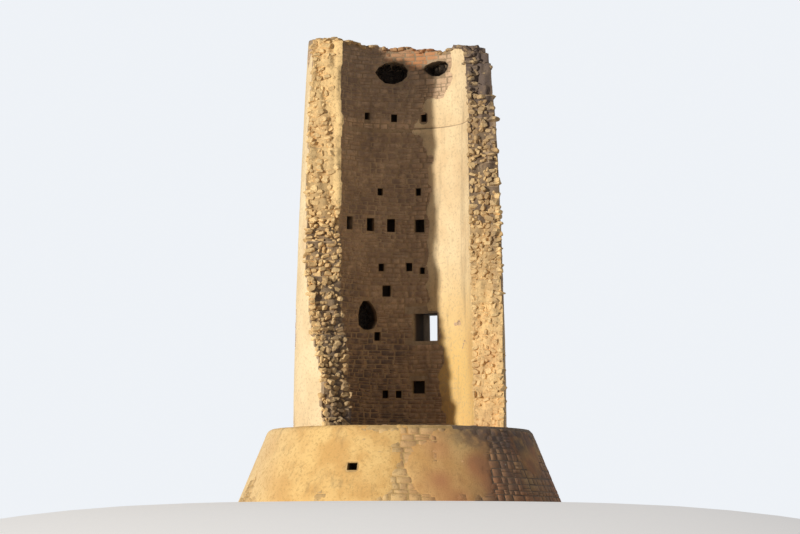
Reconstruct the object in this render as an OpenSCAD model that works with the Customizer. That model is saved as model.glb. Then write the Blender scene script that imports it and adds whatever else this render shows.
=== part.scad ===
// Ruined round coastal watchtower: a solid battered base carries a hollow tapering shaft whose
// front has fallen away from top to bottom, leaving two ragged ends and an uneven crest.
// Millimetres, +Z up, origin on the ground at the centre of the base, -Y towards the fallen side.
// Azimuths are degrees anticlockwise from +X, seen from above.

/* [Base] */
// Height of the battered base
base_h = 2450; // [2000:50:3200]
// Radius of the base where it meets the ground
base_foot_r = 5350; // [5000:50:5800]
// Radius of the base at its top
base_top_r = 4370; // [4250:10:4600]
// Width and drop of the worn top edge
base_edge = 90; // [20:10:160]
// Radius of the eight-sided core inside the base, measured to its corners
base_core_r = 3920; // [3850:10:4050]

/* [Shaft] */
// Height of the shaft above the base
shaft_h = 13350; // [12000:50:14000]
// Outer radius of the shaft at its foot
shaft_foot_r = 3510; // [3400:10:3540]
// How far the outer face draws in by the crest
shaft_draw = 480; // [200:10:600]
// How late the outer face draws in: 1 is a straight batter
shaft_curve = 1.6; // [1:0.1:3]
// Inner radius of the shaft at its foot
room_foot_r = 2480; // [2300:10:2560]
// How far the inner face draws in by the crest
room_draw = 290; // [100:10:400]
// Height above the base where the upper floor's beams lay
beam_up = 6830; // [6600:10:6840]
// Height above the base of the ledge that carried the roof terrace
ledge_up = 10400; // [9600:50:10600]
// Width of that ledge
ledge_w = 55; // [30:5:90]

/* [Window] */
// Azimuth of the window's centre line
window_az = 69; // [67:1:70]
// Height of its sill above the base
window_up = 3150; // [2900:10:3300]
// Height of the opening
window_h = 940; // [800:10:1100]
// Width of the opening at the inner face
window_inner_w = 870; // [700:10:900]
// Width of the opening at the outer face
window_outer_w = 430; // [300:10:700]
// Height of the lintel
lintel_h = 240; // [180:10:260]
// Height of the sill
sill_h = 150; // [120:10:200]

/* [Niche] */
// Azimuth of the small niche's centre line
niche_az = 75; // [73:1:76]
// Height of its floor above the base
niche_up = 1370; // [1300:10:1450]
// Width and height of the niche
niche_w = 430; // [360:10:460]
// Depth of the niche
niche_depth = 480; // [300:10:600]
// Height of its lintel
niche_lintel_h = 160; // [120:10:200]
// How far the lintel reaches past the niche at each side
niche_lintel_end = 110; // [80:10:130]

/* [Sockets] */
// Plain width of a floor beam's socket
beam_w = 280; // [200:10:320]
// Height of a floor beam's socket
beam_h = 450; // [300:10:480]
// Depth of a floor beam's socket
beam_depth = 520; // [400:10:600]
// Plain width of a scaffold pole's hole
putlog_w = 190; // [140:10:240]
// Plain height of a scaffold pole's hole
putlog_h = 250; // [180:10:280]
// Depth of a scaffold pole's hole
putlog_depth = 450; // [300:10:500]

/* [Ruin] */
// Height of one course of rubble at the broken ends
course_h = 390; // [380:5:395]
// How far the courses run out of line at the broken ends, in degrees
end_jag = 2.6; // [0:0.1:4]
// Width of one stretch of the broken crest, in degrees
crest_step = 4.4; // [4.2:0.2:4.6]
// How far the stretches of the crest run out of level
crest_jag = 80; // [0:5:120]

/* [Hidden] */
$fn = 360;
floor_z = base_h;
crest_z = base_h + shaft_h;
beam_z = floor_z + beam_up;
ledge_z = floor_z + ledge_up;
window_z = floor_z + window_up;
niche_z = floor_z + niche_up;
// Height of one band of the shaft's curved profile
band_h = 900;
// Share of a course by which the broken ends' courses start below the floor
course_shift = 0.2;
// Clearance by which cutters run past the faces that they cut
past = 400;

// Azimuths where one segment of the wall meets the next, from the right end to the left
segment_az = [-24, 26, 52, 86, 107, 141, 175, 205, 238];
// Segments of the lower wall, and of the shorter upper wall and parapet
lower_names = [
    "lower_wall_right", "lower_wall_right_back", "lower_wall_under_window", "lower_wall_back",
    "lower_wall_back_left", "lower_wall_left_back", "lower_wall_left", "lower_wall_left_front"
];
upper_names = [
    "upper_wall_right", "upper_wall_right_back", "upper_wall_over_window", "upper_wall_back",
    "upper_wall_back_left", "upper_wall_left_back", "upper_wall_left"
];
parapet_names = [
    "parapet_right", "parapet_right_back", "parapet_back_right", "parapet_back",
    "parapet_back_left", "parapet_left_back", "parapet_left"
];
base_names = [
    "base_wall_right", "base_wall_right_back", "base_wall_back", "base_wall_left_back",
    "base_wall_left", "base_wall_left_front", "base_wall_front", "base_wall_right_front"
];
window_segment = 2;
last_segment = 7;

// Broken right end: height above the base, then azimuth at the inner and at the outer face
right_end = [
    [0, -5, -12], [2600, -5, -12], [5000, -4, -10], [7000, -4, -8], [9000, -3, -5],
    [10400, -1, -2], [11200, 7, 7], [12300, 12, 13], [12900, 15, 19], [shaft_h, 17, 24]
];
// Broken left end, in the same form
left_end = [
    [0, 230, 226], [1200, 228, 224.5], [2600, 223.5, 219.5], [3900, 218, 211.5],
    [5000, 215, 206.5], [7000, 212, 202.5], [9000, 210, 200], [shaft_h, 210, 200]
];
// Crest: azimuth, then how far its top lies below the full height
crest_fall = [
    [-30, 1600], [-4, 980], [4, 580], [14, 400], [26, 330], [38, 300], [48, 370], [58, 390],
    [66, 250], [84, 200], [104, 180], [128, 90], [145, 60], [158, 110], [176, 300], [196, 440],
    [206, 480], [250, 700]
];

// Sockets of the upper floor's beams: azimuth, height of the centre above the base, and how
// many times the plain width
beam_places = [[137, 7110, 1], [115.5, 7110, 1], [97.5, 7100, 1], [73.5, 7080, 1.25]];
// Scaffold holes: azimuth, height of the centre above the base, and how many times the plain size
putlog_places = [
    [119, 10820, 1], [95, 10790, 1.1], [69.5, 10780, 1.15], [107, 8240, 1], [74.5, 8240, 1.05],
    [105.5, 5660, 1.05], [82.5, 5680, 1.15], [71.5, 5560, 1.05], [101, 4860, 1.55],
    [108.5, 3310, 1.2], [101.5, 1350, 1.1], [91, 1350, 1]
];
// Cavities where facing has dropped out: azimuth, height above the base, width, height, depth
cavities = [
    [117.5, 3990, 740, 1060, 620],
    [97, 12330, 1120, 760, 640],
    [56, 12440, 1050, 520, 560]
];
// The hole in the base: azimuth, height of its centre, width, height and depth
drain = [252, 1130, 330, 240, 600];

// Share of the shaft's height at a level
function share(z) = (z - floor_z) / shaft_h;
// Radius of the outer and of the inner face at a level
function outer_r(z) = shaft_foot_r - shaft_draw * pow(max(0, share(z)), shaft_curve);
function inner_r(z) = room_foot_r - room_draw * share(z);

// Radius of the base's battered face at a level
function batter_r(z) = base_foot_r - (base_foot_r - base_top_r) * z / (base_h - base_edge);

// A value between the rows of a table whose first column rises
function between(table, at, column) = lookup(at, [for (row = table) [row[0], row[column]]]);

// Uneven line of a broken edge: three waves that never fall into step, about 1 at most
function uneven(t, seed) =
    0.5 * sin(t * 0.31 + seed * 97) + 0.32 * sin(t * 0.83 + seed * 41)
    + 0.22 * sin(t * 1.71 + seed * 173);

// A point in plan, by azimuth and radius
function polar(az, r) = [r * cos(az), r * sin(az)];

// Azimuth of a broken end in one course, for a share of the way from the inner to the outer face
function end_az(table, course, way, seed) =
    let (up = (course + 0.5) * course_h)
    between(table, up, 1) * (1 - way) + between(table, up, 2) * way
    + end_jag * uneven(course * 977 + way * 2100, seed);

// What has fallen beside one broken end, course by course, between two levels
module fallen(table, towards, low, high, seed) {
    ways = [0.1, 0.3, 0.5, 0.7, 0.9];
    near_r = room_foot_r - 600;
    far_r = shaft_foot_r + past;
    for (course = [floor((low - floor_z) / course_h) - 1 : ceil((high - floor_z) / course_h)]) {
        z = floor_z + (course - course_shift) * course_h;
        in_r = inner_r(z);
        out_r = outer_r(z);
        line = concat(
            [polar(end_az(table, course, 0, seed), near_r)],
            [for (way = ways)
                polar(end_az(table, course, way, seed), in_r + (out_r - in_r) * way)],
            [polar(end_az(table, course, 1, seed), far_r)]
        );
        translate([0, 0, z])
            linear_extrude(course_h)
                polygon(concat(line, [polar(towards, 2 * far_r), polar(towards, near_r)]));
    }
}

// What has weathered off the crest above one segment, stretch by stretch; the stretches of the
// outer half of the wall stand half a step aside of the inner half's, as in any bonded wall
module weathered(from_az, to_az) {
    rims = [room_foot_r - 900, 2630, shaft_foot_r + past];
    half = crest_step / 2;
    for (k = [floor(from_az / crest_step) - 1 : ceil(to_az / crest_step)]) {
        for (side = [0 : 1]) {
            at = 2 * k + side;
            middle = side == 0 ? [polar(half * (at + 1), rims[1])] : [];
            joint = side == 1 ? [polar(half * (at + 1), rims[1])] : [];
            top_z = crest_z - between(crest_fall, half * (at + 1), 1)
                + crest_jag * uneven(k * 1370 + side * 700, 3);
            translate([0, 0, top_z])
                linear_extrude(shaft_h)
                    polygon(concat(
                        [polar(half * at, rims[side]), polar(half * at, rims[side + 1])], middle,
                        [polar(half * (at + 2), rims[side + 1]), polar(half * (at + 2), rims[side])],
                        joint
                    ));
        }
    }
}

// A segment of the round wall between two azimuths and two levels
module wall(from_az, to_az, low, high, set_back = 0) {
    bands = ceil((high - low) / band_h);
    levels = [for (i = [0 : bands]) low + (high - low) * i / bands];
    rotate([0, 0, from_az])
        rotate_extrude(angle = to_az - from_az)
            polygon(concat(
                [for (z = levels) [outer_r(z), z]],
                [for (i = [bands : -1 : 0]) [inner_r(levels[i]) + set_back, levels[i]]]
            ));
}

// A block set along a radius, centred at an azimuth and a height, running out from a radius
module radial_block(az, z, w, h, near_r, depth) {
    rotate([0, 0, az])
        translate([near_r, -w / 2, z - h / 2])
            cube([depth, w, h]);
}

// A hole that opens into the room
module socket(place, w, h, depth) {
    z = floor_z + place[1];
    radial_block(place[0], z, w, h, inner_r(z) - past, depth + past);
}

// A cavity with uneven sides that opens into the room
module cavity(place) {
    sides = 11;
    z = floor_z + place[1];
    rotate([0, 0, place[0]])
        translate([inner_r(z) - past, 0, z])
            rotate([90, 0, 90])
                linear_extrude(place[4] + past)
                    polygon([for (k = [0 : sides - 1])
                        let (a = 360 * k / sides, swell = 1 + 0.14 * uneven(k * 900, place[0]))
                        [place[2] / 2 * cos(a) * swell, place[3] / 2 * sin(a) * swell]]);
}

// Whether a hole in the wall lies in or near a segment
function reaches(place, from_az, to_az, low, high) =
    place[0] > from_az - 16 && place[0] < to_az + 16
    && floor_z + place[1] > low - 800 && floor_z + place[1] < high + 800;

// All the holes that open into the room in or near a segment
module holes(from_az, to_az, low, high) {
    for (place = beam_places)
        if (reaches(place, from_az, to_az, low, high))
            socket(place, beam_w * place[2], beam_h, beam_depth);
    for (place = putlog_places)
        if (reaches(place, from_az, to_az, low, high))
            socket(place, putlog_w * place[2], putlog_h * place[2], putlog_depth);
    for (place = cavities)
        if (reaches(place, from_az, to_az, low, high)) cavity(place);
}

// One segment of the wall between two levels, with its holes and broken ends
module ruined_wall(n, low, high) {
    from_az = segment_az[n];
    to_az = n == 6 && low >= beam_z ? segment_az[last_segment + 1] : segment_az[n + 1];
    difference() {
        wall(from_az, to_az, low, high, low >= ledge_z ? ledge_w : 0);
        holes(from_az, to_az, low, high);
        if (n == 0) fallen(right_end, -40, low, high, 4);
        if (n >= 6) fallen(left_end, 255, low, high, 1);
        if (low >= ledge_z) weathered(from_az, to_az);
    }
}

// A solid eight-sided mass inside the base, whose top is the floor of the room
module base_core() {
    color("tan")
        rotate([0, 0, 22.5])
            cylinder(h = base_h, r = base_core_r, $fn = 8);
}

// One eighth of the battered wall round the base, with a flat back against the core
module base_wall(n) {
    color("wheat") difference() {
        rotate([0, 0, 45 * n - 22.5])
            rotate_extrude(angle = 45)
                polygon([
                    [base_core_r / 2, 0], [base_foot_r, 0], [base_top_r, base_h - base_edge],
                    [base_top_r - base_edge, base_h], [base_core_r / 2, base_h]
                ]);
        translate([0, 0, -past])
            rotate([0, 0, 22.5])
                cylinder(h = base_h + 2 * past, r = base_core_r, $fn = 8);
        if (n == 6)
            radial_block(drain[0], drain[1], drain[2], drain[3],
                batter_r(drain[1]) - drain[4], drain[4] + past);
    }
}

// One segment of the wall up to the upper floor's beams, with the niche under the window
module lower_wall(n) {
    top_z = n == window_segment ? window_z - sill_h : beam_z;
    color("burlywood") difference() {
        ruined_wall(n, floor_z, top_z);
        if (n == window_segment) {
            radial_block(niche_az, niche_z + niche_w / 2, niche_w, niche_w,
                inner_r(niche_z) - past, niche_depth + past);
            niche_lintel_bed();
        }
    }
}

// The wall between the window's lintel and the upper floor
module lower_wall_over_window() {
    color("burlywood") ruined_wall(window_segment, window_z + window_h + lintel_h, beam_z);
}

// One segment of the wall from the upper floor's beams to the terrace's ledge
module upper_wall(n) {
    color("burlywood") ruined_wall(n, beam_z, ledge_z);
}

// One segment of the parapet above the ledge, up to the broken crest
module parapet(n) {
    color("navajowhite") ruined_wall(n, ledge_z, crest_z);
}

// The window's splayed opening, through the whole wall
module window_void() {
    in_r = inner_r(window_z) - past;
    out_r = outer_r(window_z) + past;
    splay = (window_inner_w - window_outer_w) / 2 / (outer_r(window_z) - inner_r(window_z));
    in_w = window_inner_w / 2 + splay * past;
    out_w = window_outer_w / 2 - splay * past;
    rotate([0, 0, window_az])
        translate([0, 0, window_z - past])
            linear_extrude(window_h + 2 * past)
                polygon([[in_r, -in_w], [out_r, -out_w], [out_r, out_w], [in_r, in_w]]);
}

// A through-stone at one side of the window
module window_jamb(from_az, to_az) {
    color("bisque") difference() {
        wall(from_az, to_az, window_z, window_z + window_h);
        window_void();
    }
}

module window_sill() {
    color("bisque")
        wall(segment_az[window_segment], segment_az[window_segment + 1],
            window_z - sill_h, window_z);
}

module window_lintel() {
    color("bisque")
        wall(segment_az[window_segment], segment_az[window_segment + 1],
            window_z + window_h, window_z + window_h + lintel_h);
}

// The space that the niche's lintel takes up in the wall
module niche_lintel_bed() {
    low = niche_z + niche_w;
    intersection() {
        wall(niche_az - 14, niche_az + 10, low, low + niche_lintel_h);
        radial_block(niche_az, low + niche_lintel_h / 2, niche_w + 2 * niche_lintel_end,
            2 * niche_lintel_h, room_foot_r - past, niche_depth + past);
    }
}

module niche_lintel() {
    color("bisque") niche_lintel_bed();
}

base_core();
for (n = [0 : last_segment]) {
    base_wall(n);
    lower_wall(n);
}
for (n = [0 : 6]) {
    upper_wall(n);
    parapet(n);
}
lower_wall_over_window();
window_sill();
window_jamb(window_az, segment_az[3]);  // window_jamb_left
window_jamb(segment_az[2], window_az);  // window_jamb_right
window_lintel();
niche_lintel();
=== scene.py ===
"""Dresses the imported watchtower: facing stones, worn render, rubble ends and crest, light and camera.

Metres, +Z up, the tower's axis on the Z axis, -Y towards the fallen side. Azimuths are in degrees,
anticlockwise from +X seen from above, as in the part's source.
"""
import math

import bpy
import numpy as np
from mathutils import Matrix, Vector
from mathutils.bvhtree import BVHTree


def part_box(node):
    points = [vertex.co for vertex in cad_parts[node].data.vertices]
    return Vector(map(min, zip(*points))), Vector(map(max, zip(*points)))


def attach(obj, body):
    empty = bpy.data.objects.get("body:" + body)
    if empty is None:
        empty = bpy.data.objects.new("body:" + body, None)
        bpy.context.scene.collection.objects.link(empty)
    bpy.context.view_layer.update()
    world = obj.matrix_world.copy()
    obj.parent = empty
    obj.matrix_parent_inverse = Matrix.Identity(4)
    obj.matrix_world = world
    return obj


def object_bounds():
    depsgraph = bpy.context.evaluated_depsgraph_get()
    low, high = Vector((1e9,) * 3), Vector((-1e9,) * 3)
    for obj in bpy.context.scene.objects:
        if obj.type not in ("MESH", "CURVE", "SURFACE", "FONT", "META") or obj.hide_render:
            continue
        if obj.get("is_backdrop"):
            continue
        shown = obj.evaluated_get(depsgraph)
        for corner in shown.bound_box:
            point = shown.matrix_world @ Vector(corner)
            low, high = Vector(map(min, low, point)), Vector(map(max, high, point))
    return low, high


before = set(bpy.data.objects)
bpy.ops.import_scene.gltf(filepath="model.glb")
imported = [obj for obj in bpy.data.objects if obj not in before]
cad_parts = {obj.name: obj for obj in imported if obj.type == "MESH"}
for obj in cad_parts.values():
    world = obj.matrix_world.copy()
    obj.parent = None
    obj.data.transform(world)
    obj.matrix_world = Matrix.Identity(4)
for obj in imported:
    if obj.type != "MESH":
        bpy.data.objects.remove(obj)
cad_low, cad_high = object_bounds()

# Levels and radii that the frame gives
floor_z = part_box("base_core")[1].z
beam_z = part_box("lower_wall_back")[1].z
ledge_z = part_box("upper_wall_back")[1].z
top_z = cad_high.z
foot_r = cad_high.x
shaft_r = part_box("lower_wall_left_back")[0].x * -1

# Azimuths between which the wall stands, with room to spare, and one where it has no hole
WALL_FROM, WALL_TO = -22.0, 238.0
CLEAR_AZ = 160.0
# An azimuth where the base has no hole
BASE_AZ = 20.0
# How far rows and columns of rays keep from the masonry's edges
CLEAR = 0.004
# Steps of the survey of the wall's faces
AZ_STEP, UP_STEP = 0.5, 0.06
# Distance from which level rays look at the outside, and where short of the axis they end
FAR, BEHIND = 9.0, 1.5
# Depth past the plain face at which a hole counts as one
HOLE = 0.012
# Turn and rise that keep rays off the joints between the frame's segments
NUDGE, LIFT = 0.013, 0.0007
# Half the height of the step that a face's line takes at the ledge
STEP = 0.002
# How far the shaft's outside draws in for each metre up
TAPER = 0.036

SEED = 1907
# Thickness of the render on the shaft and on the base, and how steeply its worn edges rise
COAT, BASE_COAT, STEEP = 0.016, 0.02, 0.16
# How far the sheet of render dips where it has worn off and at a hole, and where cells are left out
DIP, HOLE_DIP, BURIED = -0.02, -0.012, -0.004
# How far the backs of the render, of a facing stone and of an end's core lie in the masonry
COAT_BACK, STONE_BACK, CORE_BACK = 0.035, 0.03, 0.05
# Points across the core of a broken end, and the height between its rows
CORE_COLUMNS, CORE_STEP = 20, 0.055
# Every so many azimuths of the survey carry a point of the render
RENDER_SKIP = 3
# How far pieces keep from the foot's edge
EDGE = 0.002
# Radius to which the worn floor and terrace reach
FLOOR_R = 4.1
# Azimuths, clear of the wall, from which the swings to its broken ends start
RIGHT_START, LEFT_START = -42.0, 262.0
# Points round the stage's rings, and the radius of its level middle
ROUND, FLAT = 72, 6.5
# Nodes of dressed stone, and nodes whose mortar is dark, partly stain and partly painted shade
DRESSED = ("window_lintel", "window_sill", "niche_lintel")
STAINED_AND_SHADED = ("base_wall_right", "base_wall_right_front", "base_wall_right_back")

rng = np.random.default_rng(SEED)


# Smooth noise

def lattice(cell, seed):
    """Pseudo-random numbers from 0 to 1 at whole-number points."""
    n = (cell[..., 0] * 374761393 + cell[..., 1] * 668265263 + cell[..., 2] * 1440670441 + seed * 974711)
    n = n & 0xFFFFFFFF
    n = ((n ^ (n >> 13)) * 1274126177) & 0xFFFFFFFF
    return ((n ^ (n >> 16)) & 0xFFFFFF) / float(0xFFFFFF)


def noise(points, size, seed):
    """Smooth noise from -1 to 1, with features of about that size in metres."""
    scaled = np.asarray(points, float) / size
    cell = np.floor(scaled).astype(np.int64)
    part = scaled - cell
    part = part * part * (3 - 2 * part)
    total = 0.0
    for corner in np.ndindex(2, 2, 2):
        weight = 1.0
        for axis in range(3):
            weight = weight * (part[..., axis] if corner[axis] else 1 - part[..., axis])
        total = total + weight * lattice(cell + np.array(corner), seed)
    return total * 2 - 1


def smooth(low, high, value):
    """0 below low, 1 above high, and an easy curve between; low may be the larger."""
    t = np.clip((np.asarray(value, float) - low) / (high - low), 0, 1)
    return t * t * (3 - 2 * t)


def azimuth(points):
    """Azimuth in degrees, from -90 round to 270."""
    az = np.degrees(np.arctan2(points[..., 1], points[..., 0]))
    return np.where(az < -90, az + 360, az)


# The masonry's faces, as the frame has them

def solid_tree():
    """A tree of all the CAD nodes' faces for rays, and the node that each face belongs to."""
    points, faces, owners = [], [], []
    for name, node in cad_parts.items():
        start = len(points)
        points.extend(v.co[:] for v in node.data.vertices)
        faces.extend([start + i for i in f.vertices] for f in node.data.polygons)
        owners.extend([name] * len(node.data.polygons))
    return BVHTree.FromPolygons(points, faces), owners


TREE, OWNERS = solid_tree()


def level_ray(az, z, outside):
    """Radius and node of the masonry that a level ray meets, from outside or from the axis."""
    turn = math.radians(az + NUDGE)
    way = Vector((math.cos(turn), math.sin(turn), 0))
    up = Vector((0, 0, z + LIFT))
    if outside:
        hit, _, index, _ = TREE.ray_cast(up + way * FAR, -way, FAR - BEHIND)
    else:
        hit, _, index, _ = TREE.ray_cast(up, way, FAR)
    return (math.hypot(hit.x, hit.y), OWNERS[index]) if hit else (math.nan, "")


class Face:
    """A round face of the masonry: a line of radius and height that turns about the axis."""

    def __init__(self, radii, heights, outside):
        self.radii = np.array(radii, float)
        self.heights = np.array(heights, float)
        self.outside = outside
        step = np.hypot(np.diff(self.radii), np.diff(self.heights))
        self.along = np.concatenate([[0], np.cumsum(step)])
        side = 1 if outside else -1
        self.normal_r = side * np.gradient(self.heights, self.along)
        self.normal_z = -side * np.gradient(self.radii, self.along)

    def radius(self, along):
        return np.interp(along, self.along, self.radii)

    def height(self, along):
        return np.interp(along, self.along, self.heights)

    def place(self, az, along, proud):
        """Points at an azimuth and a distance up the line, and that far proud of it."""
        turn = np.radians(az)
        r = self.radius(along) + proud * np.interp(along, self.along, self.normal_r)
        z = self.height(along) + proud * np.interp(along, self.along, self.normal_z)
        return np.stack([r * np.cos(turn), r * np.sin(turn), z], -1)


def plain_face(az, low, high, outside, step=0.05):
    """The face of the masonry as level rays see it at one azimuth, with a crisp step at the ledge."""
    heights = np.arange(low, high, step)
    if high > ledge_z:
        heights = heights[abs(heights - ledge_z) > 0.01]
        heights = np.sort(np.concatenate([heights, [ledge_z - STEP, ledge_z + STEP]]))
    radii = np.array([level_ray(az, z, outside)[0] for z in heights])
    there = ~np.isnan(radii)
    return Face(radii[there], heights[there], outside)


def survey(face, az, along):
    """Which points of a grid on a face have masonry there, and which have dressed stone."""
    there = np.zeros((len(along), len(az)), bool)
    dressed = np.zeros_like(there)
    for row, s in enumerate(along):
        z = float(face.height(s))
        r = float(face.radius(s))
        for column, a in enumerate(az):
            seen, owner = level_ray(a, z, face.outside)
            there[row, column] = abs(seen - r) < HOLE
            dressed[row, column] = owner in DRESSED
    return there, dressed


# Where the stone is dark, with stains and with painted shade, and where it is red, with painted warm
# light in places

def wall_depth(points):
    """How far points lie in from the shaft's outside."""
    outside_r = shaft_r - TAPER * (points[..., 2] - floor_z)
    return outside_r - np.hypot(points[..., 0], points[..., 1])


def far_crest(points):
    """Where the low key light strikes the top of the wall opposite the fallen side, from 0 to 1: the
    stone there gets red that is partly its own and partly painted warm sunlight, and is kept out of the
    room's painted shade.
    """
    az, z = azimuth(points), points[..., 2]
    return smooth(14.75, 15.1, z) * smooth(50, 60, az) * smooth(112, 98, az)


def shade_edge(z):
    """Azimuth at which the room's shaded side begins, by height."""
    return np.interp(z, [3.0, 8.0, 14.0], [50.0, 66.0, 74.0])


def age_and_shade(points, room=False):
    """How dark the stone is, from 0 to 1: darker in patches, at the crest and the ends, partly painted
    shade on the base's right, and painted shade on the room's shaded side and the right end's outer
    edge.
    """
    az, z = azimuth(points), points[..., 2]
    right_top = smooth(11.0, 14.4, z) * smooth(52, 32, az) * smooth(-40, -10, az)
    crest = 0.4 * smooth(14.3, 15.5, z) * smooth(206, 186, az)
    rim = smooth(1.5, 2.0, z)
    # Darker on the base's right: partly dark lichen, partly painted shade of the side turned from the
    # light
    base_right = smooth(-76 - 8 * rim, -42 - 6 * rim, az) * smooth(70, 20, az) * (0.5 + 0.5 * rim)
    base_right *= smooth(floor_z + 0.08, floor_z - 0.14, z)
    patches = 0.5 + 0.5 * noise(points, 0.9, SEED + 40)
    depth = wall_depth(points)
    left_end = smooth(9.5, 4.0, z) * smooth(196, 206, az) * smooth(0.02, 0.2, depth)
    left_end *= z > floor_z
    right_end = 0.25 * smooth(6.0, 9.0, z) * smooth(26, 14, az) * smooth(0.02, 0.2, depth)
    # Painted shade along the right end's outer edge, which turns from the light
    outer_edge = smooth(0, 0.04, depth) * smooth(0.32, 0.1, depth)
    right_end += 0.4 * smooth(4.0, 7.0, z) * smooth(26, 14, az) * outer_edge
    total = 0.85 * right_top + crest + 1.3 * base_right + 0.6 * left_end + right_end
    if room:
        # Painted shade on the room's side that the key light misses, deeper low on the left and lifted
        # where the far crest is sunlit; the pale band at the ledge is lime
        edge = shade_edge(z)
        shaded = smooth(edge - 15, edge + 13, az) * (1 - 0.8 * far_crest(points))
        band = smooth(0.3, 0.1, abs(z - ledge_z - 0.05))
        low_left = smooth(8.5, 4.0, z) * smooth(66, 96, az)
        total = 0.7 * shaded + 0.56 * low_left - 0.6 * band
    return np.clip(total * (0.55 + 0.7 * patches) + 0.16 * (patches - 0.5), 0, 1)


def redness(points):
    """How orange-red the stone is, from 0 to 1: red patches of its own, and painted warm light at the
    room's sunlit foot, low on the right end and on the sunlit far crest.
    """
    az, z = azimuth(points), points[..., 2]
    # Painted warm light: the room's sunlit foot and the right end's lower part are warmed in the colour
    room_low = smooth(8.0, 3.0, z) * smooth(-20, 10, az) * smooth(70, 40, az) * (z > floor_z)
    base_right = smooth(-100, -70, az) * smooth(40, 0, az)
    base_right *= smooth(floor_z + 0.1, floor_z - 0.3, z)
    right_end = smooth(9.0, 6.0, z) * smooth(26, 14, az) * smooth(-90, -60, az)
    right_end *= smooth(0.02, 0.2, wall_depth(points)) * (z > floor_z)
    patches = 0.5 + 0.5 * noise(points, 0.6, SEED + 50)
    total = far_crest(points) + 0.95 * base_right + 0.08 * room_low + 0.16 * right_end
    return np.clip(total * (0.3 + patches) + 0.2 * (patches - 0.6), 0, 1)


# Meshes

def crease(mesh, rounded, totals):
    """Marks the edges between rounded and flat faces as sharp, so that each shades on its own."""
    rounded = np.repeat(np.broadcast_to(rounded, len(totals)), totals)
    if rounded.all() or not rounded.any():
        return
    edges = np.empty(len(mesh.loops), np.int32)
    mesh.loops.foreach_get("edge_index", edges)
    count = len(mesh.edges)
    meets_rounded = np.bincount(edges[rounded], minlength=count) > 0
    meets_flat = np.bincount(edges[~rounded], minlength=count) > 0
    sharp = mesh.attributes.new("sharp_edge", "BOOLEAN", "EDGE")
    sharp.data.foreach_set("value", meets_rounded & meets_flat)


def build(name, points, quads, triangles, tones, material, rounded=True, room=False):
    """One piece of the scene from arrays, riding on the tower."""
    quads = np.asarray(quads, np.int64).reshape(-1, 4)
    triangles = np.asarray(triangles, np.int64).reshape(-1, 3)
    loops = np.concatenate([quads.ravel(), triangles.ravel()])
    used, loops = np.unique(loops, return_inverse=True)
    points = np.asarray(points, float).reshape(-1, 3)[used]
    points[:, 2] = np.clip(points[:, 2], 0.0, top_z)
    radius = np.hypot(points[:, 0], points[:, 1])
    inside = np.minimum(1, (foot_r - EDGE) / np.maximum(radius, 1e-6))
    points[:, :2] *= inside[:, None]
    totals = np.concatenate([np.full(len(quads), 4), np.full(len(triangles), 3)])
    mesh = bpy.data.meshes.new(name)
    mesh.vertices.add(len(points))
    mesh.vertices.foreach_set("co", points.astype(np.float32).ravel())
    mesh.loops.add(len(loops))
    mesh.loops.foreach_set("vertex_index", loops.ravel().astype(np.int32))
    mesh.polygons.add(len(totals))
    starts = np.concatenate([[0], np.cumsum(totals)[:-1]])
    mesh.polygons.foreach_set("loop_start", starts.astype(np.int32))
    mesh.polygons.foreach_set("loop_total", totals.astype(np.int32))
    mesh.polygons.foreach_set("use_smooth", np.broadcast_to(rounded, len(totals)))
    mesh.update(calc_edges=True)
    crease(mesh, rounded, totals)
    tone = mesh.attributes.new("tone", "FLOAT_COLOR", "POINT")
    shade = np.ones((len(points), 4), np.float32)
    shade[:, 0] = np.asarray(tones, float).reshape(-1)[used]
    shade[:, 1] = age_and_shade(points, room)
    shade[:, 2] = redness(points)
    tone.data.foreach_set("color", shade.ravel())
    mesh.materials.append(material)
    piece = bpy.data.objects.new(name, mesh)
    bpy.context.scene.collection.objects.link(piece)
    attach(piece, "root")


def closed_sheet(front, back, keep, outwards):
    """Points and quads of a closed sheet between two grids, in the cells that keep marks.

    The last value says which quads are rounded: only those of the front.
    """
    rows, columns = front.shape[:2]
    index = np.arange(rows * columns).reshape(rows, columns)
    far = rows * columns
    r, c = np.nonzero(keep)
    corners = np.stack([index[r, c], index[r, c + 1], index[r + 1, c + 1], index[r + 1, c]], 1)
    quads = [corners, corners[:, ::-1] + far]
    padded = np.pad(keep, 1)
    neighbours = [(-1, 0), (0, 1), (1, 0), (0, -1)]
    for side, (dr, dc) in enumerate(neighbours):
        edge = corners[~padded[r + 1 + dr, c + 1 + dc]]
        a, b = edge[:, side], edge[:, (side + 1) % 4]
        quads.append(np.stack([b, a, a + far, b + far], 1))
    quads = np.concatenate(quads)
    if not outwards:
        quads = quads[:, ::-1]
    rounded = np.arange(len(quads)) < len(corners)
    return np.concatenate([front.reshape(-1, 3), back.reshape(-1, 3)]), quads, rounded


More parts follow.
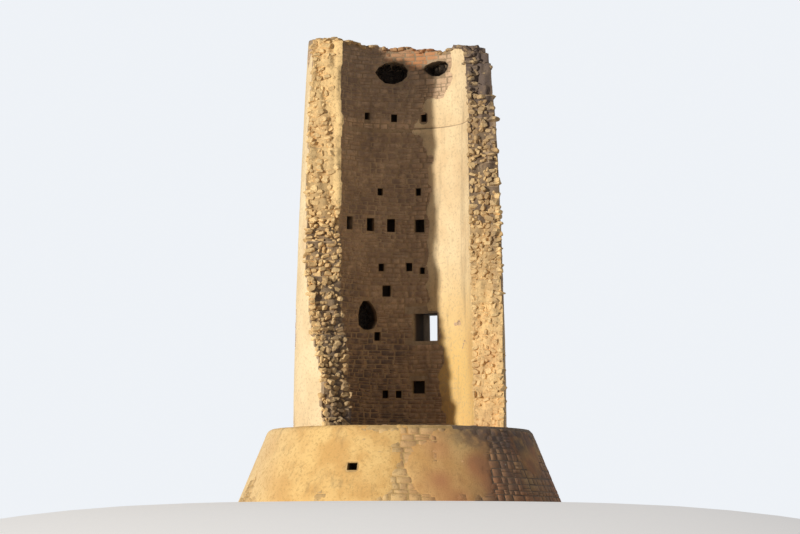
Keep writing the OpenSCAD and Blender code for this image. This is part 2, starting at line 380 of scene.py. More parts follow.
def block_shape():
    """A unit facing stone: across and up from -1 to 1, depth 0 at the back and 1 at the front."""
    marks = np.array([-1, -0.88, 0, 0.88, 1])
    across, up = np.meshgrid(marks, marks)
    edge = np.maximum(abs(across), abs(up))
    depth = np.where(edge > 0.9, 0.55, 1.0)
    pull = 1 - 0.05 * (abs(across * up) > 0.9)
    front = np.stack([across * pull, up * pull, depth], -1).reshape(-1, 3)
    index = np.arange(25).reshape(5, 5)
    quads = [[index[r, c], index[r, c + 1], index[r + 1, c + 1], index[r + 1, c]]
             for r in range(4) for c in range(4)]
    ring = [*index[0, :], *index[1:, 4], *index[4, 3::-1], *index[3:0:-1, 0]]
    back = front[ring] * (1, 1, 0)
    points = np.concatenate([front, back, [[0, 0, 0]]])
    behind = [25 + n for n in range(16)]
    triangles = []
    for n in range(16):
        following = (n + 1) % 16
        quads.append([ring[following], ring[n], behind[n], behind[following]])
        triangles.append([behind[following], behind[n], 41])
    return points, np.array(quads), np.array(triangles)


BLOCK = block_shape()


def repeated(faces, count, size):
    """The faces of one shape, repeated for that many copies of it."""
    return (faces[None] + np.arange(count)[:, None, None] * size).reshape(-1, faces.shape[1])


def facing(name, face, stones, relief, material):
    """Facing stones in one mesh. A stone is azimuth, distance up, width, height and tone."""
    stones = np.array(stones)
    unit, quads, triangles = BLOCK
    count = len(stones)
    az, along, width, height, tone = (stones[:, n, None] for n in range(5))
    across = np.broadcast_to(unit[:, 0], (count, len(unit)))
    up = np.broadcast_to(unit[:, 1], (count, len(unit)))
    depth = unit[None, :, 2]
    # Each corner moves a little, and what lies between the corners goes with it
    sides = [(-1, -1), (1, -1), (1, 1), (-1, 1)]
    for sx, sy in sides:
        weight = (1 + sx * across) * (1 + sy * up) / 4
        move = rng.uniform(-1, 1, (count, 2))
        dx = 0.5 * width - 0.003 - 0.13 * height * abs(move[:, :1])
        dy = 0.5 * height - 0.002 - 0.09 * height * abs(move[:, 1:])
        if (sx, sy) == sides[0]:
            x, y = 0, 0
        x = x + weight * sx * dx
        y = y + weight * sy * dy
    proud = rng.uniform(relief[0], relief[1], (count, 1))
    turn = np.degrees(x / face.radius(along))
    plain = face.place(az + turn, along + y, 0.0)
    y = y + 0.035 * noise(plain, 0.8, SEED + 10)
    lump = 0.35 * noise(plain, 0.12, SEED + 7) + 0.25 * noise(plain, 0.05, SEED + 8)
    out = -STONE_BACK + depth * (STONE_BACK + proud * (1 + (depth > 0.9) * lump))
    points = face.place(az + turn, along + y, out)
    order = 1 if face.outside else -1
    quads = repeated(quads[:, ::order], count, len(unit))
    triangles = repeated(triangles[:, ::order], count, len(unit))
    tones = np.broadcast_to(tone, (count, len(unit)))
    build(name, points, quads, triangles, tones, material, room=not face.outside)


def runs(there):
    """Start and end of each run of True in a row."""
    edges = np.flatnonzero(np.diff(np.concatenate([[False], there, [False]]).astype(int)))
    return edges.reshape(-1, 2)


def coursed(face, az, along, there, heights, widths):
    """Stones in courses wherever the face has masonry: azimuth, distance up, width, height, tone."""
    stones = []
    low = along[0] + 0.02
    while low + heights[0] < along[-1]:
        high = min(low + rng.uniform(*heights), along[-1])
        levels = [low + share * (high - low) for share in (0.12, 0.5, 0.88)]
        rows = [int(np.abs(along - level).argmin()) for level in levels]
        for start, end in runs(there[rows].all(0)):
            r = float(face.radius((low + high) / 2))
            begin, stop = az[start], az[end - 1]
            arc = math.radians(stop - begin) * r
            if arc < 0.12:
                continue
            cuts = [0.0]
            while cuts[-1] < arc:
                cuts.append(cuts[-1] + rng.uniform(*widths) * (0.7 + 1.5 * (high - low)))
            cuts = np.array(cuts) * arc / cuts[-1]
            for left, right in zip(cuts, cuts[1:]):
                middle = begin + math.degrees((left + right) / 2 / r)
                levels = [low, high]
                if rng.random() < 0.18:
                    levels.insert(1, low + (high - low) * rng.uniform(0.35, 0.65))
                for bottom, top in zip(levels, levels[1:]):
                    size = (right - left, top - bottom)
                    stones.append([middle, (bottom + top) / 2, *size, rng.uniform(0.1, 0.9)])
        low = high
    return stones


def rock_shapes(count, detail):
    """Broken stones: balls cut flat on several sides."""
    bpy.ops.mesh.primitive_ico_sphere_add(subdivisions=detail, radius=1)
    ball = bpy.context.active_object
    points = np.array([v.co[:] for v in ball.data.vertices])
    triangles = np.array([f.vertices[:] for f in ball.data.polygons])
    bpy.data.objects.remove(ball)
    level = [(0, 0, 1), (0, 0, -1), (1, 0, 0), (-1, 0, 0), (0, 1, 0), (0, -1, 0)]
    shapes = []
    for _ in range(count):
        cut = points.copy()
        sides = [(np.array(side, float) + rng.normal(0, 0.2, 3), rng.uniform(0.56, 0.78))
                 for side in level]
        sides += [(rng.normal(0, 1, 3), rng.uniform(0.64, 0.9)) for _ in range(7)]
        for side, reach in sides:
            side = side / np.linalg.norm(side)
            over = np.maximum(0, cut @ side - reach)
            cut -= over[:, None] * side
        shapes.append(cut / abs(cut).max(0))
    return shapes, triangles


def turned(yaw, tip, roll):
    """Rotation matrices for arrays of yaw, tip and roll in degrees."""
    a, b, c = np.radians(yaw), np.radians(tip), np.radians(roll)
    zero, one = np.zeros_like(a), np.ones_like(a)
    about_z = np.array([
        [np.cos(a), -np.sin(a), zero], [np.sin(a), np.cos(a), zero], [zero, zero, one]])
    about_x = np.array([
        [one, zero, zero], [zero, np.cos(b), -np.sin(b)], [zero, np.sin(b), np.cos(b)]])
    about_y = np.array([
        [np.cos(c), zero, np.sin(c)], [zero, one, zero], [-np.sin(c), zero, np.cos(c)]])
    return np.einsum("ijn,jkn,kln->nil", about_z, about_x, about_y)


def rubble(name, spots, lean, material, fine=False):
    """Broken stones in one mesh. A spot is x, y, z, three half sizes, yaw and tone."""
    spots = np.array(spots)
    rocks, faces = ROCKS if fine else PEBBLES
    count, size = len(spots), len(rocks[0])
    shape = np.array(rocks)[rng.integers(0, len(rocks), count)]
    spin = turned(spots[:, 6], rng.normal(0, lean, count), rng.normal(0, lean, count))
    local = shape * spots[:, None, 3:6]
    points = np.einsum("nij,nkj->nki", spin, local) + spots[:, None, :3]
    points += 0.006 * noise(points, 0.05, SEED + 9)[..., None]
    tones = np.repeat(spots[:, 7], size)
    build(name, points, [], repeated(faces, count, size), tones, material, rounded=False)


# Materials

def joined(tree, kind, settings=None, **inputs):
    """A new node with settings, and inputs that are values or other nodes' outputs."""
    made = tree.nodes.new(kind)
    for key, value in (settings or {}).items():
        setattr(made, key, value)
    for key, value in inputs.items():
        socket = made.inputs[int(key[1:])] if key[0] == "_" else made.inputs[key]
        if isinstance(value, bpy.types.NodeSocket):
            tree.links.new(value, socket)
        else:
            socket.default_value = value
    return made


def maths(tree, operation, *values):
    """The result of one operation on numbers or other nodes' outputs."""
    inputs = {f"_{n}": value for n, value in enumerate(values)}
    return joined(tree, "ShaderNodeMath", {"operation": operation}, **inputs).outputs[0]


def vector_maths(tree, operation, *values):
    """The outputs of one operation on vectors."""
    inputs = {f"_{n}": value for n, value in enumerate(values)}
    return joined(tree, "ShaderNodeVectorMath", {"operation": operation}, **inputs).outputs


def blend_colours(tree, share, first, second):
    """A mix of two colours or colour outputs."""
    settings = {"data_type": "RGBA", "blend_type": "MIX"}
    return joined(tree, "ShaderNodeMix", settings, _0=share, _6=first, _7=second).outputs[2]


def ramp(tree, value, low, high, first=0.0, last=1.0):
    """A value carried from one range to another, and held at its ends."""
    settings = {"interpolation_type": "SMOOTHSTEP"}
    made = joined(tree, "ShaderNodeMapRange", settings, _0=value, _1=low, _2=high, _3=first, _4=last)
    return made.outputs[0]


def noise_node(tree, where, scale, detail=4.0, rough=0.55):
    """Blender's own noise, from 0 to 1."""
    inputs = {"Vector": where, "Scale": scale, "Detail": detail, "Roughness": rough}
    return joined(tree, "ShaderNodeTexNoise", None, **inputs).outputs["Fac"]


def place_parts(tree, where):
    """X, Y and Z of a place, and its distance from the tower's axis."""
    parts = joined(tree, "ShaderNodeSeparateXYZ", None, Vector=where).outputs
    flat = vector_maths(tree, "MULTIPLY", where, (1, 1, 0))[0]
    radius = vector_maths(tree, "LENGTH", flat)["Value"]
    return parts["X"], parts["Y"], parts["Z"], radius


def limited(tree, share, limits):
    """A share that fades out at some limits: a value, where it leaves nothing, and where all."""
    for value, nothing, everything in limits:
        share = maths(tree, "MULTIPLY", share, ramp(tree, value, nothing, everything))
    return share


def hollow(tree, where, of_base):
    """How far in from the mouth of a hole in the room's wall or in the base, from 0 to 1: the share of
    soot and painted shade deep in it.
    """
    low, high = (0.3, floor_z - 0.4) if of_base else (floor_z + 0.5, ledge_z - 0.5)
    low_r, high_r = (level_ray(CLEAR_AZ, z, of_base)[0] for z in (low, high))
    slope = (high_r - low_r) / (high - low)
    _, y, z, radius = place_parts(tree, where)
    depth = maths(tree, "ADD", radius, maths(tree, "MULTIPLY_ADD", z, -slope, slope * low - low_r))
    limits = [(depth, 0.75, 0.6), (y, 1.3, 1.7), (z, 15.15, 14.95)]
    if of_base:
        depth = maths(tree, "MULTIPLY", depth, -1.0)
        limits = [(z, floor_z - 0.1, floor_z - 0.25)]
    return limited(tree, ramp(tree, depth, 0.04, 0.26, 0.0, 0.9), limits)


def far_left(tree, where):
    """How near a point is to the side that lies back and to the left, from 0 to 1."""
    level = vector_maths(tree, "NORMALIZE", vector_maths(tree, "MULTIPLY", where, (1, 1, 0))[0])[0]
    turn = math.radians(130)
    along = vector_maths(tree, "DOT_PRODUCT", level, (math.cos(turn), math.sin(turn), 0))["Value"]
    return ramp(tree, along, -0.25, 0.6, 0.0, 0.75)


def room_foot(tree, where):
    """How near a point is to the sunlit foot of the room's wall, from 0 to 1; the render there takes a
    golden tint as painted warm light.
    """
    x, _, z, radius = place_parts(tree, where)
    return limited(tree, ramp(tree, z, 9.0, 4.5, 0.0, 0.9), [(x, 0.6, 1.4), (radius, 2.9, 2.6)])


def opaque(colour, by=1.0):
    """A colour, made darker by a factor, as a node takes it."""
    return (*[c * by for c in colour], 1)


RED = (0.56, 0.26, 0.115)
# The near black lines holes and cavities with soot and painted shade; the dark colours below it serve
# stains and painted shade alike
SOOT_AND_SHADE = (0.035, 0.024, 0.016)
AGED_AND_SHADED = (0.155, 0.115, 0.095)
DARK = (0.24, 0.18, 0.13)
DARKER = (0.16, 0.115, 0.085)


def masonry(name, deep, pale, grain, pits, patch_scale, per_stone=False, aged_and_shaded=AGED_AND_SHADED, red=RED,
            soot_and_shade=None, tint=None):
    """A weathered stone or render: tone by stone or by patch, grain, pits, stains, and the painted shade
    that the tone's green mark carries.

    The hole argument says whose holes it lines with soot and painted shade, "room" or "base"; tint is
    where it has another colour, and which.
    """
    made = bpy.data.materials.new(name)
    made.use_nodes = True
    tree = made.node_tree
    shader = tree.nodes["Principled BSDF"]
    where = joined(tree, "ShaderNodeTexCoord").outputs["Object"]
    tone = joined(tree, "ShaderNodeAttribute", {"attribute_name": "tone"}).outputs["Color"]
    marks = joined(tree, "ShaderNodeSeparateColor", None, Color=tone).outputs
    share = ramp(tree, noise_node(tree, where, patch_scale, 5.0, 0.6), 0.36, 0.66)
    if per_stone:
        share = maths(tree, "MULTIPLY_ADD", share, 0.35, marks["Red"])
    colour = blend_colours(tree, share, opaque(deep), opaque(pale))
    if tint:
        share_of, towards = tint
        colour = blend_colours(tree, share_of(tree, where), colour, opaque(towards))
    mottle = ramp(tree, noise_node(tree, where, 11.0, 6.0, 0.65), 0.3, 0.7)
    mottle = maths(tree, "MULTIPLY", ramp(tree, mottle, 0.5, 0.0), 0.55)
    colour = blend_colours(tree, mottle, colour, opaque(deep, 0.72))
    fine = noise_node(tree, where, grain, 3.0, 0.6)
    specks = ramp(tree, fine, 0.62, 0.8, 0.0, 0.4)
    colour = blend_colours(tree, specks, colour, opaque(deep, 0.6))
    upright = joined(tree, "ShaderNodeMapping", None, Vector=where, Scale=(2.6, 2.6, 0.32)).outputs[0]
    streaks = ramp(tree, noise_node(tree, upright, 1.0, 5.0, 0.6), 0.52, 0.75, 0.0, 0.35)
    colour = blend_colours(tree, streaks, colour, opaque(aged_and_shaded, 0.7))
    colour = blend_colours(tree, marks["Blue"], colour, opaque(red))
    # Stains and painted shade, by the tone's green mark
    grime_and_shade = ramp(tree, noise_node(tree, where, 4.0), 0.3, 0.6, 0.45, 0.95)
    grime_and_shade = maths(tree, "MULTIPLY", marks["Green"], grime_and_shade)
    colour = blend_colours(tree, grime_and_shade, colour, opaque(aged_and_shaded))
    # Soot and painted shade deep in holes
    if soot_and_shade:
        colour = blend_colours(tree, hollow(tree, where, soot_and_shade == "base"), colour, opaque(SOOT_AND_SHADE))
    tree.links.new(colour, shader.inputs["Base Color"])
    tree.links.new(ramp(tree, fine, 0.3, 0.7, 0.82, 0.96), shader.inputs["Roughness"])
    shader.inputs["Specular IOR Level"].default_value = 0.25
    holes = joined(tree, "ShaderNodeTexVoronoi", None, Vector=where, Scale=grain * 0.5)
    rough = maths(tree, "MULTIPLY_ADD", ramp(tree, holes.outputs["Distance"], 0.0, 0.35), pits, fine)
    bump = joined(tree, "ShaderNodeBump", None, Height=rough, Strength=0.8, Distance=0.02)
    tree.links.new(bump.outputs[0], shader.inputs["Normal"])
    return made


# Colours from deep to pale, grain, pits and size of patches
# The render's golden tint at the room's foot is painted warm light
render_coat = masonry("lime render", (0.86, 0.64, 0.365), (0.97, 0.77, 0.465), 42.0, 0.25, 0.55,
                      aged_and_shaded=DARK, tint=(room_foot, (0.93, 0.62, 0.215)))
base_coat = masonry("lime render of the base", (0.73, 0.432, 0.148), (0.89, 0.60, 0.24),
                    38.0, 0.3, 0.9, aged_and_shaded=DARKER, tint=(far_left, (0.90, 0.69, 0.39)))
facing_stone = masonry("facing stone", (0.52, 0.345, 0.21), (0.74, 0.52, 0.33), 30.0, 0.5, 1.6, True)
rubble_stone = masonry("rubble stone", (0.60, 0.38, 0.165), (0.96, 0.68, 0.325), 26.0, 0.6, 1.8, True)
base_stone = masonry("stone of the base", (0.50, 0.33, 0.145), (0.78, 0.53, 0.245),
                     30.0, 0.5, 1.6, True)
# Near black rubble: painted shade at the backs of the cavities
painted_cavity_shade = masonry("cavity rubble painted with shade", (0.035, 0.027, 0.02), (0.075, 0.055, 0.04),
                       26.0, 0.6, 1.8, True, aged_and_shaded=SOOT_AND_SHADE, red=SOOT_AND_SHADE)
mortar = masonry("lime mortar", (0.34, 0.24, 0.145), (0.48, 0.345, 0.215), 48.0, 0.9, 1.2,
                 soot_and_shade="room")
base_mortar = masonry("mortar of the base", (0.50, 0.32, 0.13), (0.70, 0.475, 0.205),
                      48.0, 0.9, 1.2, soot_and_shade="base")
pale_core = masonry("filled core", (0.50, 0.33, 0.155), (0.92, 0.64, 0.295), 34.0, 0.9, 2.4, True)
# Bare core: its deep tone is partly painted shade in the gaps between broken stones
core = masonry("core of the wall", (0.17, 0.115, 0.07), (0.78, 0.55, 0.29), 34.0, 0.9, 2.4, True)
# Dark mortar: partly stain, partly painted shade on the base's right and on the right end's parapet core
dark_mortar = masonry("mortar stained and painted with shade", (0.17, 0.125, 0.085), (0.30, 0.21, 0.135), 48.0, 0.9, 1.2)
# Dressed stone kept dark, partly painted shade to match the room's shaded side and the window's splay
dressed_stone = masonry("dressed limestone", (0.34, 0.255, 0.17), (0.47, 0.36, 0.24),
                        34.0, 0.3, 1.4, soot_and_shade="room")
floor_fill = masonry("earth and lime floor", (0.42, 0.33, 0.22), (0.62, 0.51, 0.35), 36.0, 0.7, 1.0)

for node_name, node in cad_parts.items():
    if node_name in DRESSED or "jamb" in node_name:
        finish = dressed_stone
    elif node_name in STAINED_AND_SHADED:
        finish = dark_mortar
    else:
        finish = base_mortar if node_name.startswith("base_wall") else mortar
    node.data.materials.clear()
    node.data.materials.append(finish)

ROCKS = rock_shapes(14, 3)
PEBBLES = rock_shapes(10, 2)


# The shaft's outside and the room's inside

def skin(face, az, along, there, cover, thick):
    """What is left of the render on a face: points of its front and back, its cells, and its wear."""
    grid_az, grid_along = np.meshgrid(az, along)
    plain = face.place(grid_az, grid_along, 0.0)
    left = worn(plain, cover)
    swell = 0.005 * noise(plain, 0.5, SEED + 4) + 0.003 * noise(plain, 0.16, SEED + 5)
    height = np.clip(left * STEEP, DIP, thick) + swell * (left > 0.05)
    gone = ~there
    near = gone.copy()
    near[1:] |= gone[:-1]
    near[:-1] |= gone[1:]
    near[:, 1:] |= gone[:, :-1]
    near[:, :-1] |= gone[:, 1:]
    height = np.where(near, HOLE_DIP, height)
    corners = [(slice(None, -1), slice(None, -1)), (slice(1, None), slice(None, -1)),
               (slice(None, -1), slice(1, None)), (slice(1, None), slice(1, None))]
    buried = np.all([height[c] < BURIED for c in corners], 0)
    broken = np.any([gone[c] for c in corners], 0)
    front = face.place(grid_az, grid_along, height)
    back = face.place(grid_az, grid_along, -COAT_BACK)
    return front, back, ~buried & ~broken, left


def worn(points, cover):
    """How much of the render is left at some points, below nothing where it has fallen."""
    patches = 0.7 * noise(points, 1.9, SEED + 1) + 0.42 * noise(points, 0.62, SEED + 2)
    return cover(points) + patches + 0.2 * noise(points, 0.22, SEED + 3)


def coat(name, sheet, rows, face, material):
    """The rows of a skin between two levels, as one piece."""
    front, back, keep, left = (part[rows] for part in sheet)
    keep = keep[:len(front) - 1]
    points, quads, rounded = closed_sheet(front, back, keep, face.outside)
    build(name, points, quads, [], np.concatenate([left.ravel(), left.ravel()]), material, rounded,
          room=not face.outside)


def showing(face, stones, cover, thick):
    """The stones that the render doesn't hide."""
    kept = []
    for stone in stones:
        az, along, width, height, _ = stone
        turn = math.degrees(0.5 * width / float(face.radius(along)))
        half = height / 2
        spots = [(az, along)] + [(az + i * turn, along + j * half) for i in (-1, 1) for j in (-1, 1)]
        at = np.array([face.place(a, s, 0.0) for a, s in spots])
        if (worn(at, cover) * STEEP < thick * 0.9).any():
            kept.append(stone)
    return kept


def outside_cover(points):
    """How much render is left on the outside of the shaft."""
    az, z = azimuth(points), points[..., 2]
    plain_side = 0.6 * smooth(188, 202, az)
    return 0.34 + plain_side - 0.8 * smooth(13.6, 15.4, z) - 0.25 * smooth(3.6, 2.6, z)


def room_cover(points):
    """How much render is left inside: more at the right and on the ledge, less near the crest; its edge
    is drawn along the shadow line, which paints that shadow's edge into the colour.
    """
    az, z = azimuth(points), points[..., 2]
    band = 0.45 * smooth(0.4, 0.1, abs(z - ledge_z))
    crest = smooth(13.2, 14.6, z) * (0.2 + 0.5 * smooth(30, 62, az))
    # The pale render's edge follows the shadow line: a painted shadow edge
    edge = shade_edge(z)
    return -0.95 + 1.6 * smooth(edge + 15, edge - 15, az) + band - crest


def breaks(face):
    """Distances up a face's line to the beams' level and to both edges of the ledge."""
    levels = (beam_z, ledge_z - STEP, ledge_z + STEP)
    return [float(np.interp(z, face.heights, face.along)) for z in levels]


az_marks = np.arange(WALL_FROM, WALL_TO + AZ_STEP, AZ_STEP)
lifts = [("lower", floor_z, beam_z, "wall_masonry"), ("upper", beam_z, ledge_z, "wall_masonry"),
         ("parapet", ledge_z, top_z, "parapet_masonry")]
for side, outside, cover, relief, heights, widths in (
    ("outside", True, outside_cover, (0.004, 0.014), (0.14, 0.30), (0.18, 0.56)),
    ("room", False, room_cover, (0.002, 0.007), (0.10, 0.22), (0.18, 0.60)),
):
    face = plain_face(CLEAR_AZ, floor_z + CLEAR, top_z, outside)
    along = np.concatenate([
        np.linspace(low, high, max(2, round((high - low) / UP_STEP)), endpoint=False)
        for low, high in zip([0.0, *breaks(face)], [*breaks(face), face.along[-1]])
    ])
    there, dressed = survey(face, az_marks, along)
    sheet = skin(face, az_marks[::RENDER_SKIP], along, there[:, ::RENDER_SKIP], cover, COAT)
    stones = coursed(face, az_marks, along, there & ~dressed, heights, widths)
    stones = np.array(showing(face, stones, cover, COAT))
    levels = face.height(along)
    for lift, low, high, slot in lifts:
        first, last = (int(abs(levels - z).argmin()) for z in (low, high))
        coat(f"{side}_render_{lift}", sheet, slice(first, last + 1), face, render_coat)
        stone_z = face.height(stones[:, 1])
        part = stones[(stone_z >= low) & (stone_z < high)]
        facing(f"{side}_stones_{lift}", face, part, relief, facing_stone)


# The broken ends

def arc_hit(r, z, start, towards):
    """Where a point that swings round at one radius and height first meets the wall."""
    for turn in np.arange(0, 72, 4.0):
        ends = [math.radians(start + towards * (turn + more)) for more in (0, 4)]
        here, there = (Vector((r * math.cos(a), r * math.sin(a), z)) for a in ends)
        hit = TREE.ray_cast(here, (there - here).normalized(), (there - here).length + 0.002)[0]
        if hit:
            return hit, (there - here).normalized()
    return None, None


def wall_radii(z):
    """Radii of the wall's inner and outer face at a height."""
    return [level_ray(CLEAR_AZ, z, outside)[0] for outside in (False, True)]


def end_core(name, start, towards, low, high, filled, material):
    """The rough core and the mortar between the stones of a broken end.

    filled says how far mortar still fills the gaps, by height and by the share of the way across
    the wall: 0 not at all, 1 almost up to the faces of the stones, 2 over them.
    """
    marks = np.arange(low, high + 0.01, (high - low) / round((high - low) / CORE_STEP))
    front = np.full((len(marks), CORE_COLUMNS, 3), np.nan)
    back = front.copy()
    share = np.zeros(front.shape[:2])
    for row, mark in enumerate(marks):
        z = min(mark, top_z - CLEAR)
        inner, outer = wall_radii(z)
        for column, r in enumerate(np.linspace(inner + CLEAR, outer - CLEAR, CORE_COLUMNS)):
            hit, way = arc_hit(r, z, start, towards)
            if hit:
                share[row, column] = (r - inner) / (outer - inner)
                proud = 0.012 + 0.07 * filled(z, share[row, column])
                front[row, column] = hit - way * proud
                back[row, column] = hit + way * CORE_BACK
    found = ~np.isnan(front[..., 0])
    flat = np.nan_to_num(front)
    relief = 0.022 * noise(flat, 0.16, SEED + 60) + 0.014 * noise(flat, 0.06, SEED + 61)
    thick = np.linalg.norm(front - back, axis=-1, keepdims=True)
    front += relief[..., None] * (front - back) / thick
    tones = filled(flat[..., 2], share) * (0.75 + 0.25 * noise(flat, 0.3, SEED + 62))
    keep = found[:-1, :-1] & found[1:, :-1] & found[:-1, 1:] & found[1:, 1:]
    points, quads, rounded = closed_sheet(front, back, keep, towards < 0)
    build(name, np.nan_to_num(points), quads, [], np.tile(tones.ravel(), 2), material, rounded)


def held(value, low, high):
    """A value kept between two limits."""
    return min(max(value, low), high)


def end_rubble(name, start, towards, low, high, filled):
    """Coarse rubble that shows where the wall broke off, and small stones between.

    filled is as for the core; large stones are fewer where mortar lies over them.
    """
    large, small = [], []
    z = low
    while z < high - 0.04:
        course = rng.uniform(0.11, 0.22)
        middle = min(z + course / 2, high - 0.03)
        inner, outer = wall_radii(middle)
        first = arc_hit(inner + 0.05, middle, start, towards)[0]
        last = arc_hit(outer - 0.08, middle, start, towards)[0]
        yaw = CLEAR_AZ
        if first and last:
            yaw = math.degrees(math.atan2(last.y - first.y, last.x - first.x))
        r = inner - 0.02
        while r < outer - 0.05:
            width = rng.uniform(0.10, 0.34)
            at = min(r + width / 2, outer - 0.06)
            up = held(middle + rng.uniform(-0.04, 0.04), low + 0.02, high - 0.02)
            hit, way = arc_hit(at, up, start, towards)
            fill = float(filled(up, (at - inner) / (outer - inner)))
            if hit and rng.random() > 0.1 + 0.8 * max(0.0, fill - 1):
                half = (width * rng.uniform(0.42, 0.6), rng.uniform(0.08, 0.2),
                        course * rng.uniform(0.36, 0.62))
                place = hit + way * rng.uniform(-0.04, 0.08)
                tone = rng.uniform(0.05 + 0.4 * min(1.0, fill), 1.0)
                large.append([*place, *half, yaw + rng.uniform(-25, 25), tone])
            if rng.random() < 0.75 - 0.6 * max(0.0, fill - 1):
                near_r = held(at + rng.uniform(-0.5, 0.5) * width, inner + 0.03, outer - 0.03)
                near_z = held(middle + rng.uniform(-0.6, 0.6) * course, low + 0.02, high - 0.02)
                hit, way = arc_hit(near_r, near_z, start, towards)
                if hit:
                    half = [rng.uniform(0.03, 0.075) for _ in range(3)]
                    place = hit + way * rng.uniform(-0.05, 0.03)
                    small.append([*place, *half, rng.uniform(0, 180), rng.uniform(0.0, 0.9)])
            r += width
        z += course
    rubble(name, large, 14.0, rubble_stone, fine=True)
    rubble(name + "_small", small, 30.0, rubble_stone)


def right_filled(z, across):
    """The right end keeps its mortar low down, and over its outer half at the crest."""
    return 0.8 * smooth(9.5, 6.0, z) + 1.7 * smooth(13.3, 13.9, z) * smooth(0.4, 0.6, across)


def left_filled(z, across):
    """The left end keeps its mortar high up, most of it along the room's edge."""
    return 0.78 * smooth(9.0, 12.0, z) + 1.1 * smooth(9.2, 10.0, z) * smooth(0.27, 0.17, across)


for lift, low, high, slot in lifts:
    # At the parapet the right end's core is dark, partly painted shade of the face turned from the
    # light; low on the left end the dark core stands partly for shade in the gaps between stones
    right_core = {"lower": pale_core, "upper": core, "parapet": dark_mortar}[lift]
    left_core = core if lift == "lower" else pale_core
    for side, start, towards, filled, between in (
        ("right", RIGHT_START, 1, right_filled, right_core),
        ("left", LEFT_START, -1, left_filled, left_core),
    ):
        name = f"{side}_end_rubble_{lift}"
        end_core(name + "_core", start, towards, low, high, filled, between)
        end_rubble(name, start, towards, low, high, filled)


# The crest

def drop(x, y, z, reach=4.0):
    """Where something that falls from a point comes to rest on the masonry."""
    return TREE.ray_cast(Vector((x, y, z)), Vector((0, 0, -1)), reach)[0]


crest_spots = []
for az in np.arange(WALL_FROM, WALL_TO, 4.1):
    for r in np.arange(2.28, 2.9, 0.15):
        turn = math.radians(az + rng.uniform(-1.6, 1.6))
        at = r + rng.uniform(-0.05, 0.05)
        hit = drop(at * math.cos(turn), at * math.sin(turn), top_z + 1)
        if hit and hit.z > ledge_z + 0.3:
            half = (rng.uniform(0.08, 0.18), rng.uniform(0.08, 0.17), rng.uniform(0.04, 0.08))
            z = min(hit.z, top_z - half[2] * 1.35 - 0.01)
            yaw = math.degrees(turn) + rng.uniform(-30, 30)
            crest_spots.append([hit.x, hit.y, z, *half, yaw, rng.uniform(0.1, 0.9)])
rubble("crest_rubble", crest_spots, 8.0, rubble_stone)


# The cavities where facing has dropped out

def cavity_rubble(name, az, z, width, height):
    """Broken core that shows at the back and the sides of a cavity, near black as painted shade."""
    spots = []
    for up in np.arange(-0.5, 0.51, 0.1 / height):
        for across in np.arange(-0.5, 0.51, 0.11 / width):
            level = z + (up + rng.uniform(-0.05, 0.05)) * height
            turn = az + math.degrees((across + rng.uniform(-0.05, 0.05)) * width / 2.3)
            r = level_ray(turn, level, False)[0]
            plain = level_ray(CLEAR_AZ, level, False)[0]
            if r > plain + 0.15:
                half = [rng.uniform(0.05, 0.11) for _ in range(3)]
                a = math.radians(turn)
                tone = rng.uniform(0.0, 0.6)
                yaw = turn + rng.uniform(-40, 40)
                spots.append([r * math.cos(a), r * math.sin(a), level, *half, yaw, tone])
    rubble(name, spots, 20.0, painted_cavity_shade)


cavity_rubble("breach_rubble", 117.5, floor_z + 3.99, 0.74, 1.06)
cavity_rubble("back_cavity_rubble", 97.0, floor_z + 12.33, 1.12, 0.76)
cavity_rubble("right_cavity_rubble", 56.0, floor_z + 12.44, 1.05, 0.52)


# The base

def base_cover(points):
    """How much render is left on the base: less at the right, along the foot and at the top edge."""
    az, z = azimuth(points), points[..., 2]
    right = smooth(-108, -42, az) * smooth(60, 20, az)
    return 0.54 - 0.68 * right - 0.35 * smooth(0.5, 0.0, z) - 0.3 * smooth(floor_z - 0.3, floor_z, z)


batter = plain_face(BASE_AZ, CLEAR, floor_z - 0.002, True, 0.04)
terrace_r = np.arange(batter.radii[-1] - 0.05, shaft_r + 0.2, -0.08)
base_face = Face(np.concatenate([batter.radii, terrace_r]),
                 np.concatenate([batter.heights, np.full(len(terrace_r), floor_z)]), True)
base_az = np.arange(0, 360.3, 0.6)
base_along = np.arange(0, base_face.along[-1], 0.075)
battered = base_along < batter.along[-1]
base_there, _ = survey(base_face, base_az, base_along[battered])
base_there = np.concatenate([base_there, np.ones((int((~battered).sum()), len(base_az)), bool)])
base_sheet = skin(base_face, base_az, base_along, base_there, base_cover, BASE_COAT)
coat("base_render", base_sheet, slice(None), base_face, base_coat)
face_rows = base_along[base_along < batter.along[-1] - 0.05]
base_stones = coursed(base_face, base_az, face_rows, base_there[:len(face_rows)],
                      (0.14, 0.30), (0.18, 0.56))
base_stones = showing(base_face, base_stones, base_cover, BASE_COAT)
facing("base_stones", base_face, base_stones, (0.004, 0.016), base_stone)


# The floor of the room and the terrace

def on_floor(x, y):
    """Whether the open floor lies under a point."""
    hit = drop(x, y, floor_z + 0.5, 1.0)
    return hit is not None and abs(hit.z - floor_z) < 0.01


